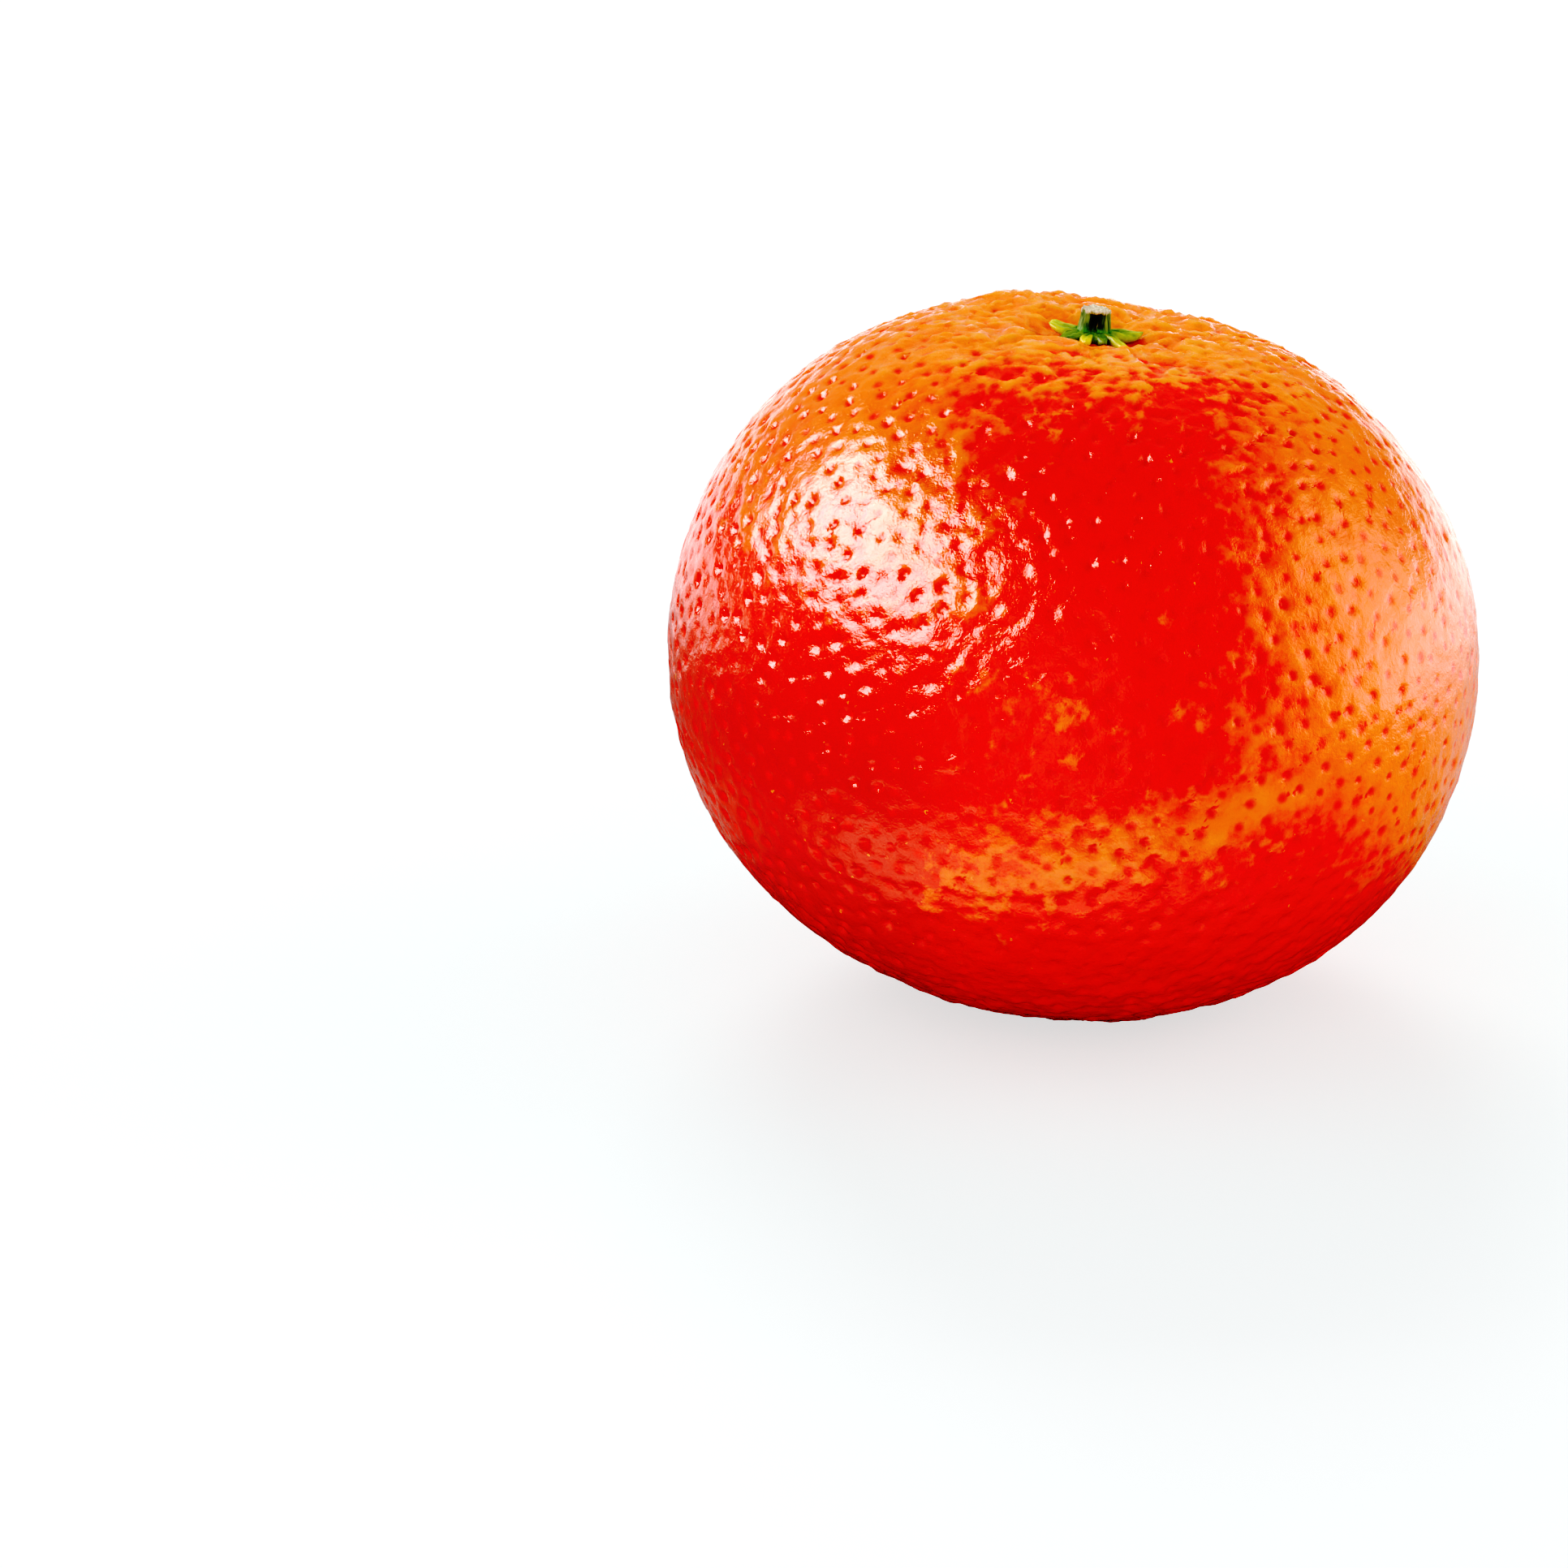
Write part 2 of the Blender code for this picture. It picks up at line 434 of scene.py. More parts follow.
FLOAT, VECTOR, COLOUR = "NodeSocketFloat", "NodeSocketVector", "NodeSocketColor"
mottling = new_group(
    "mottling",
    {
        "Place": (VECTOR, None),
        "First": (COLOUR, (1.0, 1.0, 1.0, 1.0)),
        "Second": (COLOUR, (0.5, 0.5, 0.5, 1.0)),
        "Per metre": (FLOAT, 100.0),
        "Contrast": (FLOAT, 1.0),
    },
    {"Colour": COLOUR, "Mask": FLOAT},
)
inside = add_node(mottling, "NodeGroupInput")
cloud_fill = {
    "Vector": out(inside, "Place"),
    "Scale": out(inside, "Per metre"),
    "Detail": 4.0,
    "Roughness": 0.6,
    "Distortion": 0.4,
}
cloud = add_node(mottling, "ShaderNodeTexNoise", cloud_fill)
centred = minus(mottling, out(cloud, 0), 0.5)
stretched = calc(mottling, "MULTIPLY_ADD", centred, out(inside, "Contrast"), 0.5)
share = add_node(mottling, "ShaderNodeClamp", {"Value": stretched})
shade = blend_colour(mottling, out(share), out(inside, "First"), out(inside, "Second"))
add_node(mottling, "NodeGroupOutput", {"Colour": shade, "Mask": out(share)})

# %% [markdown]
# ## Fine grain
#
# Skin, leaf and bark all break up a reflection with a grain too small to model: about a tenth of a
# millimetre. This group gives that as a height, which each material hands to a Bump node. Two sizes
# of noise are added, so the grain doesn't look regular.

# %% Shared group: fine grain
fine_grain = new_group(
    "fine_grain",
    {"Place": (VECTOR, None), "Per metre": (FLOAT, 4000.0), "Depth": (FLOAT, 1.0)},
    {"Height": FLOAT},
)
inside = add_node(fine_grain, "NodeGroupInput")
heights = []
for fineness, part in ((1.0, 0.65), (2.7, 0.35)):
    per_metre = times(fine_grain, out(inside, "Per metre"), fineness)
    grain_fill = {"Vector": out(inside, "Place"), "Scale": per_metre, "Detail": 2.0}
    grain = add_node(fine_grain, "ShaderNodeTexNoise", grain_fill)
    heights.append(times(fine_grain, out(grain, 0), part))
deep = times(fine_grain, plus(fine_grain, *heights), out(inside, "Depth"))
add_node(fine_grain, "NodeGroupOutput", {"Height": deep})
print("shared groups:", [g.name for g in bpy.data.node_groups])


def use_group(tree, group, **fill):
    """Puts a group in a tree. An underscore in a name stands for a space in the socket's name."""
    made = tree.nodes.new("ShaderNodeGroup")
    made.node_tree = group
    for name, value in fill.items():
        socket = made.inputs[name.replace("_", " ")]
        if isinstance(value, bpy.types.NodeSocket):
            tree.links.new(value, socket)
        else:
            socket.default_value = value
    return made


def mottled(tree, place, first, second, per_metre, contrast):
    """The colour of the mottling group: two colours, clouds per metre, and contrast."""
    fill = {"Place": place, "First": first, "Second": second}
    made = use_group(tree, mottling, Per_metre=per_metre, Contrast=contrast, **fill)
    return out(made, "Colour")


# %% [markdown]
# ## The smooth body under the skin
#
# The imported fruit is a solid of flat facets. A copy of it is merged, its triangles are joined to
# four-sided faces again, and a Subdivision Surface rounds it. This is only the form that the fine
# skin is laid on.

# %% Smooth body
MERGE_DISTANCE = 0.002 * MM
JOIN_ANGLE, JOIN_SHAPE_ANGLE = 0.7, 3.1
ROUNDING_LEVELS = 2


def smooth_copy(node):
    """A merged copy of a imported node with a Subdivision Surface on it."""
    shape = bmesh.new()
    shape.from_mesh(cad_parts[node].data)
    bmesh.ops.remove_doubles(shape, verts=shape.verts, dist=MERGE_DISTANCE)
    angles = {"angle_face_threshold": JOIN_ANGLE, "angle_shape_threshold": JOIN_SHAPE_ANGLE}
    bmesh.ops.join_triangles(shape, faces=shape.faces, **angles)
    bmesh.ops.recalc_face_normals(shape, faces=shape.faces)
    mesh = bpy.data.meshes.new(node + "_body")
    shape.to_mesh(mesh)
    print(node, "merged to", len(shape.verts), "points and", len(shape.faces), "faces")
    shape.free()
    body = bpy.data.objects.new(node + "_body", mesh)
    scene.collection.objects.link(body)
    rounding = body.modifiers.new("rounding", "SUBSURF")
    rounding.levels = ROUNDING_LEVELS
    rounding.render_levels = ROUNDING_LEVELS
    return body


fruit_body = smooth_copy("fruit")

# %% [markdown]
# ## The skin's shape, as a node tree
#
# The peel has some thousands of oil glands, and each one shows as a small round pit. They are spread
# over the skin at about even distances but never in rows, which is what Poisson spreading gives. So
# the skin follows a rule, and Geometry Nodes make it. The tree asks for what it needs by name: the
# body, the places of the marks, and the sizes of everything that can be changed.
#
# The distance to the nearest gland and the height of the relief are stored on the skin, for the
# finish to use.

# %% Skin tree
left_crease = calyx_middle - core_side * 4.2 * MM - core_back * 1.5 * MM
right_crease = calyx_middle + core_side * 3.2 * MM - core_back * 1.6 * MM
knob = calyx_middle - core_side * 3.6 * MM + core_back * 9.5 * MM
skin_tree = bpy.data.node_groups.new("pitted_skin", "GeometryNodeTree")
SKIN_INPUTS = {
    "Body": ("NodeSocketGeometry", None),
    "Rows": ("NodeSocketInt", 129),
    "Middle": (VECTOR, tuple(fruit_middle)),
    "Stem point": (VECTOR, tuple(calyx_middle)),
    "Floor height": (FLOAT, 0.0),
    "Gland spacing": (FLOAT, 1.75 * MM),
    "Pit radius": (FLOAT, 0.68 * MM),
    "Pit depth": (FLOAT, 0.28 * MM),
    "Blossom end": (VECTOR, tuple(blossom_end)),
    "Left crease": (VECTOR, tuple(left_crease)),
    "Right crease": (VECTOR, tuple(right_crease)),
    "Knob": (VECTOR, tuple(knob)),
    "Knob height": (FLOAT, 0.62 * MM),
    "Collar height": (FLOAT, 0.45 * MM),
    "Crease depth": (FLOAT, 0.55 * MM),
    "Swell": (FLOAT, 0.40 * MM),
    "Lumps": (FLOAT, 0.70 * MM),
    "Wrinkles": (FLOAT, 1.15 * MM),
    "Seed": ("NodeSocketInt", 7),
    "Finish": ("NodeSocketMaterial", None),
}
skin_sockets = {}
for socket_name, (kind, default) in SKIN_INPUTS.items():
    made = skin_tree.interface.new_socket(socket_name, in_out="INPUT", socket_type=kind)
    if default is not None:
        made.default_value = default
    skin_sockets[socket_name] = made
skin_tree.interface.new_socket("Skin", in_out="OUTPUT", socket_type="NodeSocketGeometry")
given = add_node(skin_tree, "NodeGroupInput")


def asked(name):
    return out(given, name)


def geo(kind, fill=None, **settings):
    return add_node(skin_tree, kind, fill, **settings)


def move(geometry, **where):
    """Moves the points of a geometry to a Position, or by an Offset."""
    return out(geo("GeometryNodeSetPosition", {"Geometry": geometry, **where}))


def store(geometry, name, value, kind="FLOAT"):
    """Keeps a value on every point of a geometry."""
    fill = {"Geometry": geometry, "Name": name, "Value": value}
    return out(geo("GeometryNodeStoreNamedAttribute", fill, data_type=kind, domain="POINT"))


def kept(name, kind="FLOAT"):
    """A value that store has kept."""
    return out(geo("GeometryNodeInputNamedAttribute", {"Name": name}, data_type=kind), "Attribute")


def scaled(vector, factor):
    made = vector_calc(skin_tree, "SCALE", vector)
    if isinstance(factor, bpy.types.NodeSocket):
        skin_tree.links.new(factor, made.node.inputs["Scale"])
    else:
        made.node.inputs["Scale"].default_value = factor
    return made


print("skin tree inputs:", list(skin_sockets))

# %% [markdown]
# ### Step 1: an even ball of points
#
# A cube with many rows is blown up to a ball. The tangent of each coordinate evens out the spacing,
# so the points lie evenly, with no poles. A ray from the middle lays each point on the body.

# %% Step 1: an even ball of points, laid on the body
CUBE_SIZE = (2.0, 2.0, 2.0)
RAY_LENGTH = 0.1

rows = {"Vertices " + direction: asked("Rows") for direction in "XYZ"}
cube = geo("GeometryNodeMeshCube", {"Size": CUBE_SIZE, **rows})
here = out(geo("GeometryNodeInputPosition"))
tangents = vector_calc(skin_tree, "TANGENT", scaled(here, math.pi / 4))
ray_fill = {
    "Target Geometry": asked("Body"),
    "Source Position": asked("Middle"),
    "Ray Direction": vector_calc(skin_tree, "NORMALIZE", tangents),
    "Ray Length": RAY_LENGTH,
}
ray = geo("GeometryNodeRaycast", ray_fill)
laid = move(out(cube, "Mesh"), Position=out(ray, "Hit Position"))
print("nodes after step 1:", len(skin_tree.nodes))

# %% [markdown]
# ### Step 2: the oil glands
#
# Poisson spreading keeps the glands apart by a least distance, and each one is set on the nearest
# point of the skin. Each gland gets its own depth and size by chance. Pits are deeper in some
# regions than in others, and shallow towards the right side.

# %% Step 2: one point for each oil gland
GLANDS_PER_SQUARE_METRE = 4.0e6
DEPTH_RANGE, DEPTH_POWER, DEPTH_SEED = (0.3, 1.0), 1.4, 3
SIZE_RANGE, SIZE_SEED = (0.72, 1.12), 5

spread_fill = {
    "Mesh": laid,
    "Distance Min": asked("Gland spacing"),
    "Density Max": GLANDS_PER_SQUARE_METRE,
    "Seed": asked("Seed"),
}
spread = geo("GeometryNodeDistributePointsOnFaces", spread_fill, distribute_method="POISSON")
closest = geo("GeometryNodeSampleNearest", {"Geometry": laid, "Sample Position": here}, domain="POINT")
on_point = geo(
    "GeometryNodeSampleIndex",
    {"Geometry": laid, "Value": here, "Index": out(closest)},
    data_type="FLOAT_VECTOR",
    domain="POINT",
)
glands = move(out(spread, "Points"), Position=out(on_point))
nearest = out(geo("GeometryNodeSampleNearest", {"Geometry": glands, "Sample Position": here}))


def of_gland(value, data_type="FLOAT"):
    """The value that the nearest gland has."""
    fill = {"Geometry": glands, "Value": value, "Index": nearest}
    return out(geo("GeometryNodeSampleIndex", fill, data_type=data_type))


def chance(low, high, seed):
    """A random number for each gland."""
    fill = {"Min": low, "Max": high, "Seed": seed}
    return out(geo("FunctionNodeRandomValue", fill, data_type="FLOAT"), "Value")


gland_place = of_gland(here, "FLOAT_VECTOR")
across_fruit = out(geo("ShaderNodeSeparateXYZ", {0: here}), "X")
side_depth = ease(skin_tree, across_fruit, 11 * MM, 25 * MM, 1.15, 0.5)
region = ease(skin_tree, noise_value(skin_tree, here, 14 * MM), 0.35, 0.62, 0.6, 1.25)
depth_chance = calc(skin_tree, "POWER", chance(*DEPTH_RANGE, DEPTH_SEED), DEPTH_POWER)
gland_depth = of_gland(times(skin_tree, depth_chance, times(skin_tree, region, side_depth)))
gland_size = of_gland(chance(*SIZE_RANGE, SIZE_SEED))
print("nodes after step 2:", len(skin_tree.nodes))

# %% [markdown]
# ### Step 3: more points in each pit
#
# The skin's points draw closer to their gland, the nearest ones most, so a pit has more of them.
# What a point knows of its gland is kept on it: the offset, the distance, the radius, the depth.

# %% Step 3: draw the skin's points towards the glands
DRAW_NEAR, DRAW_FAR = 0.30 * MM, 1.10 * MM
DRAW_SHARE = 0.72

apart = vector_calc(skin_tree, "SUBTRACT", here, gland_place)
far = vector_calc(skin_tree, "LENGTH", apart, result="Value")
draw = ease(skin_tree, far, DRAW_NEAR, DRAW_FAR, DRAW_SHARE, 1.0)
drawn = scaled(apart, draw)
marked = store(laid, "gland_offset", drawn, "FLOAT_VECTOR")
marked = store(marked, "gland_far", times(skin_tree, far, draw))
marked = store(marked, "gland_radius", times(skin_tree, asked("Pit radius"), gland_size))
marked = store(marked, "gland_depth", gland_depth)
offset_now = kept("gland_offset", "FLOAT_VECTOR")
gathered = move(marked, Offset=vector_calc(skin_tree, "SUBTRACT", offset_now, apart))
print("nodes after step 3:", len(skin_tree.nodes))

# %% [markdown]
# ### Step 4: the relief
#
# A pit is a round bowl with a soft rim. A slow swell and small lumps are noise of two sizes, and
# the lumps are strongest in the middle of the fruit. Round the stem the skin is folded. Its sharp
# fold lines come from noise that is turned back where it passes through none.

# %% Step 4: pits, swell, lumps and fold lines
SWELL_SIZE, LUMP_SIZE, FOLD_SIZE, FOLD_LINE_SIZE = 13 * MM, 2.3 * MM, 1.6 * MM, 3.6 * MM
FOLD_LINE_START, FOLD_LINE_END = 0.08, 0.14
FOLD_LINE_HEIGHT = 2.2

from_stem = vector_calc(skin_tree, "DISTANCE", here, asked("Stem point"), result="Value")
open_skin = ease(skin_tree, from_stem, 7 * MM, 18 * MM, 0.2, 1.0)
pit_share = calc(skin_tree, "DIVIDE", kept("gland_far"), kept("gland_radius"))
squared = times(skin_tree, pit_share, pit_share)
bowl = minus(skin_tree, 1.0, calc(skin_tree, "MINIMUM", squared, 1.0))
depth_here = times(skin_tree, kept("gland_depth"), open_skin)
pit = times(skin_tree, times(skin_tree, bowl, bowl), asked("Pit depth"), depth_here)


def wave(size, detail=2.0, roughness=0.5, distortion=0.0):
    """Noise between about -0.5 and 0.5."""
    return minus(skin_tree, noise_value(skin_tree, here, size, detail, roughness, distortion), 0.5)


swell = times(skin_tree, wave(SWELL_SIZE, 1.0), asked("Swell"))
lumps = times(
    skin_tree,
    wave(LUMP_SIZE, 3.0, 0.55, 0.5),
    times(
        skin_tree,
        ease(skin_tree, across_fruit, 6 * MM, 22 * MM, 1.25, 0.6),
        ease(skin_tree, across_fruit, -18 * MM, -8 * MM, 0.6, 1.0),
    ),
    asked("Lumps"),
)
# A fold line stands up where a slow wave passes through none.
fold_line = calc(skin_tree, "ABSOLUTE", wave(FOLD_LINE_SIZE, 3.0, 0.55, 1.2))
fold_line = calc(skin_tree, "MINIMUM", fold_line, FOLD_LINE_END)
fold_line = times(skin_tree, minus(skin_tree, FOLD_LINE_START, fold_line), FOLD_LINE_HEIGHT)
folds = plus(skin_tree, times(skin_tree, wave(FOLD_SIZE, 2.0, 0.5, 0.8), 0.5), fold_line)
near_stem = ease(skin_tree, from_stem, 8 * MM, 26 * MM, 1.0, 0.0)
wrinkles = times(skin_tree, folds, near_stem, asked("Wrinkles"))
calm = ease(skin_tree, from_stem, 2.5 * MM, 5.0 * MM, 0.25, 1.0)
relief = times(skin_tree, plus(skin_tree, lumps, wrinkles), calm)
marked = store(gathered, "skin_rise", calc(skin_tree, "DIVIDE", relief, MM))
print("nodes after step 4:", len(skin_tree.nodes))

# %% [markdown]
# ### Step 5: the marks
#
# A low collar rings the calyx, a knob stands behind it, two creases lie beside it, and a small scar
# marks the blossom end. Each point then moves in or out by the sum of everything so far.

# %% Step 5: the marks round the stem and at the blossom end
CREASE_RADIUS, SCAR_RADIUS, KNOB_RADIUS = 2.6 * MM, 1.9 * MM, 8.0 * MM
SCAR_DEPTH = 0.35 * MM


def dent(point, radius):
    """One at a point, falling to none at a distance from it."""
    distance = vector_calc(skin_tree, "DISTANCE", here, asked(point), result="Value")
    return ease(skin_tree, distance, 0.0, radius, 1.0, 0.0)


creases = plus(skin_tree, dent("Left crease", CREASE_RADIUS), dent("Right crease", CREASE_RADIUS))
creases = times(skin_tree, creases, asked("Crease depth"))
scar = times(skin_tree, dent("Blossom end", SCAR_RADIUS), SCAR_DEPTH)
knob_rise = times(skin_tree, dent("Knob", KNOB_RADIUS), asked("Knob height"))
collar = times(
    skin_tree,
    ease(skin_tree, from_stem, 3.4 * MM, 5.4 * MM),
    ease(skin_tree, from_stem, 5.6 * MM, 9.5 * MM, 1.0, 0.0),
    asked("Collar height"),
)
grown = plus(skin_tree, knob_rise, collar, times(skin_tree, swell, calm), relief)
lift = minus(skin_tree, grown, plus(skin_tree, creases, scar, pit))
shaped = move(marked, Offset=scaled(out(geo("GeometryNodeInputNormal")), lift))
print("nodes after step 5:", len(skin_tree.nodes))

# %% [markdown]
# ### Step 6: the floor and the finish
#
# What would reach below the floor is set on it, and the skin gets its finish.

# %% Step 6: rest the skin on the floor, and hand it over
parts = geo("ShaderNodeSeparateXYZ", {0: here})
height = calc(skin_tree, "MAXIMUM", out(parts, "Z"), asked("Floor height"))
above = geo("ShaderNodeCombineXYZ", {"X": out(parts, "X"), "Y": out(parts, "Y"), "Z": height})
resting = move(shaped, Position=out(above))
smooth = geo("GeometryNodeSetShadeSmooth", {"Geometry": resting})
real = geo("GeometryNodeRealizeInstances", {"Geometry": out(smooth)})
finished = geo("GeometryNodeSetMaterial", {"Geometry": out(real), "Material": asked("Finish")})
add_node(skin_tree, "NodeGroupOutput", {0: out(finished)})
print("skin tree nodes:", len(skin_tree.nodes))

# %% [markdown]
# ## Peel finish
#
# The peel's finish is made in five parts: how near a gland is, the plain colours, where it is red, the
# colours laid over each other, and the relief with the shine. The first part reads what the skin tree
# kept on the points. Close to a gland the stored offset is exact. Farther out a face can lie between
# two glands, whose offsets point apart, so there the stored distance is used.

# %% Peel: how near a gland is
FAR_BLEND_START, FAR_BLEND_END = 0.50 * MM, 0.66 * MM


def new_material(name):
    made = bpy.data.materials.new(name)
    made.use_nodes = True
    made.node_tree.nodes.clear()
    return made, made.node_tree


def stored(tree, name, output="Fac"):
    """A value that is kept on the points of a piece."""
    return out(add_node(tree, "ShaderNodeAttribute", attribute_name=name), output)


def end_material(tree, colour, roughness, relief, bump_height, **shine):
    """Ends a material: a Principled shader whose normal is bumped by a relief."""
    bump_fill = {"Strength": 1.0, "Distance": bump_height, "Height": relief}
    bump = add_node(tree, "ShaderNodeBump", bump_fill)
    fill = {"Base Color": colour, "Roughness": roughness, "Normal": out(bump), **shine}
    shader = add_node(tree, "ShaderNodeBsdfPrincipled", fill)
    add_node(tree, "ShaderNodeOutputMaterial", {"Surface": out(shader)})


peel, tree = new_material("peel")
place = out(add_node(tree, "ShaderNodeTexCoord"), "Object")
exact_far = vector_calc(tree, "LENGTH", stored(tree, "gland_offset", "Vector"), result="Value")
rough_far = stored(tree, "gland_far")
farther = ease(tree, rough_far, FAR_BLEND_START, FAR_BLEND_END)
far_fill = {"Factor": farther, "A": exact_far, "B": rough_far}
far = out(add_node(tree, "ShaderNodeMix", far_fill, data_type="FLOAT"), "Result")
pit_share = calc(tree, "DIVIDE", far, stored(tree, "gland_radius"))
pit_mask = ease(tree, pit_share, 0.0, 1.0, 1.0, 0.0)
print("the stored distance takes over", FAR_BLEND_END / MM, "mm from a gland")

# %% [markdown]
# ### The plain colours
#
# The peel is orange, with a yellower cap round the stem, and its painted shade is red. Each is a
# mottling of two near colours.

# %% Peel: plain colours
EVEN_ORANGES = ((0.89, 0.155, 0.024, 1.0), (0.91, 0.205, 0.032, 1.0))
CAP_ORANGES = ((0.90, 0.17, 0.028, 1.0), (0.92, 0.28, 0.042, 1.0))
# Painted shade: the red of the peel where it catches little light or sheen.
SHADE_REDS = ((0.87, 0.046, 0.010, 1.0), (0.89, 0.060, 0.011, 1.0))
CAP_START, CAP_END = 9 * MM, 24 * MM

stem_far = vector_calc(tree, "DISTANCE", place, tuple(calyx_middle), result="Value")
cap = ease(tree, stem_far, CAP_START, CAP_END, 1.0, 0.0)
even_peel = mottled(tree, place, *EVEN_ORANGES, 160.0, 2.2)
cap_peel = mottled(tree, place, *CAP_ORANGES, 260.0, 2.4)
shaded_peel = mottled(tree, place, *SHADE_REDS, 90.0, 2.0)
colour = blend_colour(tree, cap, even_peel, cap_peel)
print("the cap ends", CAP_END / MM, "mm from the stem")

# %% [markdown]
# ### Where it is red
#
# The red is painted shade. It covers the left side, a broad stripe down the front and the lower part,
# where the peel catches little light or sheen. It leaves out a slanting orange band and a small patch,
# where reflections fall. Its edge is ragged and speckled, as it follows the lumps, and raised skin is
# less red, as painted light on the crests.
#
# Side goes from -1 at the left to 1 at the right, and along from -1 at the blossom end to 1 at the
# stem. Each part of the painted shade is a number that is more than none inside that part. So the
# larger number joins two parts, and the smaller one cuts a part out.

# %% Peel: where it is red
STRIPE_SIDE, STRIPE_HALF = 0.05, 0.30
STRIPE_TOP, STRIPE_TOP_SLOPE = 0.85, 0.33
LEFT_RED_TOP, LEFT_RED_SIDE = 0.33, -0.13
LOW_RED_TOP, LOW_RED_SLOPE = -0.29, 0.42
FAR_RIGHT, FAR_RIGHT_SLOPE = 0.52, -1.6
BAND_ALONG, BAND_SLOPE, BAND_HALF = -0.185, 0.38, 0.085
PATCH_SIDE, PATCH_SIDE_HALF = -0.03, 0.12
PATCH_ALONG, PATCH_ALONG_HALF = 0.04, 0.22
PATCH_STRENGTH, PATCH_EDGE = -1.2, 0.17
PATCHY_PART, SPECKLED_PART = 0.45, 0.60


def inside_of(tree, value, middle, half):
    """How far a value is inside a band round a middle: more than none inside it."""
    return minus(tree, half, off_line(tree, value, middle))


def sloping(tree, value, slope, start):
    """A number that starts at start where value is none, and climbs with a slope."""
    return calc(tree, "MULTIPLY_ADD", value, slope, start)


def centred_noise(tree, place, size, detail, roughness, distortion=0.0):
    return minus(tree, noise_value(tree, place, size, detail, roughness, distortion), 0.5)


from_middle = vector_calc(tree, "SUBTRACT", place, tuple(fruit_middle))
from_middle = vector_calc(tree, "NORMALIZE", from_middle)
axis = add_node(tree, "ShaderNodeSeparateXYZ", {0: from_middle})
side = out(axis, "X")
along = vector_calc(tree, "DOT_PRODUCT", from_middle, tuple(core), result="Value")
off_front = ease(tree, out(axis, "Y"), -0.35, -0.1, 0.0, 1.0)
rise = stored(tree, "skin_rise")

stripe = minus(tree, inside_of(tree, side, STRIPE_SIDE, STRIPE_HALF), off_front)
stripe_top = minus(tree, sloping(tree, side, STRIPE_TOP_SLOPE, STRIPE_TOP), along)
stripe = calc(tree, "MINIMUM", stripe, stripe_top)
below_top = minus(tree, LEFT_RED_TOP, along)
left_red = calc(tree, "MINIMUM", below_top, minus(tree, LEFT_RED_SIDE, side))
right_part = calc(tree, "MAXIMUM", minus(tree, side, FAR_RIGHT), 0.0)
limit = sloping(tree, side, LOW_RED_SLOPE, LOW_RED_TOP)
limit = sloping(tree, right_part, FAR_RIGHT_SLOPE, limit)
low_red = minus(tree, limit, along)
redness = calc(tree, "MAXIMUM", stripe, calc(tree, "MAXIMUM", left_red, low_red))

# The band and the patch are kept out of the painted shade, where reflections fall on the peel.
band_line = sloping(tree, side, BAND_SLOPE, BAND_ALONG)
band_strength = ease(tree, side, -0.2, 0.35, -1.1, -4.0)
out_of_band = times(tree, inside_of(tree, along, band_line, BAND_HALF), band_strength)
out_of_band = plus(tree, out_of_band, ease(tree, side, -0.55, -0.35, 1.0, 0.0))
redness = calc(tree, "MINIMUM", redness, out_of_band)
patch_side = inside_of(tree, side, PATCH_SIDE, PATCH_SIDE_HALF)
patch_along = inside_of(tree, along, PATCH_ALONG, PATCH_ALONG_HALF)
in_patch = calc(tree, "MINIMUM", patch_side, patch_along)
out_of_patch = sloping(tree, in_patch, PATCH_STRENGTH, PATCH_EDGE)
redness = calc(tree, "MINIMUM", redness, out_of_patch)

patchy = times(tree, centred_noise(tree, place, 5 * MM, 3.0, 0.6, 0.6), PATCHY_PART)
speckled = times(tree, centred_noise(tree, place, 1.1 * MM, 4.0, 0.7), SPECKLED_PART)
redness = minus(tree, redness, plus(tree, rise, plus(tree, patchy, speckled)))
# Painted shade: the peel is red where it catches little light or sheen, less so where the skin rises.
painted_shade = ease(tree, redness, -0.08, 0.05)
deeper = ease(tree, redness, -0.32, 0.0, 0.0, 0.9)
# A painted shadow: the red is darker at the left, away from the top.
left_side = ease(tree, side, -0.52, -0.22, 1.0, 0.0)
not_high = ease(tree, along, -0.2, 0.3, 1.0, 0.0)
painted_shadow = times(tree, left_side, not_high, times(tree, painted_shade, 0.75))
print("peel nodes for the blush:", len(tree.nodes))

# %% [markdown]
# ### The colours laid over each other
#
# Each layer is a share and a colour. The orange deepens towards the painted shade, as its soft edge,
# and at the left, away from the top, a painted shadow makes the red deeper. A few light flecks lie on
# top as painted glints, valleys are redder as painted shade and crests paler as painted light, and
# the creases are darkened with painted shade. The scar at the blossom end and some freckles are dark.
# Each gland's pit shows as a darker dot, which is painted shade in the pit.

# %% Peel: the colours laid over each other
DEEPER_ORANGE = (0.89, 0.115, 0.020, 1.0)
# A painted shadow: darker red at the lower left.
SHADOW_RED = (0.62, 0.036, 0.008, 1.0)
# Painted glints: small light flecks of orange.
GLINT_COLOUR = (0.92, 0.30, 0.05, 1.0)
# Painted shade in the valleys of the relief.
VALLEY_SHADE_COLOUR = (0.84, 0.10, 0.012, 1.0)
# Painted light on the crests of the relief.
CREST_LIGHT_COLOUR = (0.92, 0.36, 0.08, 1.0)
# Painted shade in the creases beside the calyx.
CREASE_SHADE_COLOUR = (0.62, 0.02, 0.004, 1.0)
SCAR_COLOUR = (0.20, 0.09, 0.03, 1.0)
FRECKLE_COLOUR = (0.16, 0.05, 0.02, 1.0)
# Painted shade in the pits of the glands.
PIT_SHADE_COLOUR = (0.84, 0.035, 0.004, 1.0)
GLINT_SIZE, FRECKLE_SPACING = 0.8 * MM, 7.5 * MM


def spot_round(point, inner, outer, strength):
    """The strength of a spot round a point, from its full part out to its edge."""
    distance = vector_calc(tree, "DISTANCE", place, tuple(point), result="Value")
    return ease(tree, distance, inner, outer, strength, 0.0)


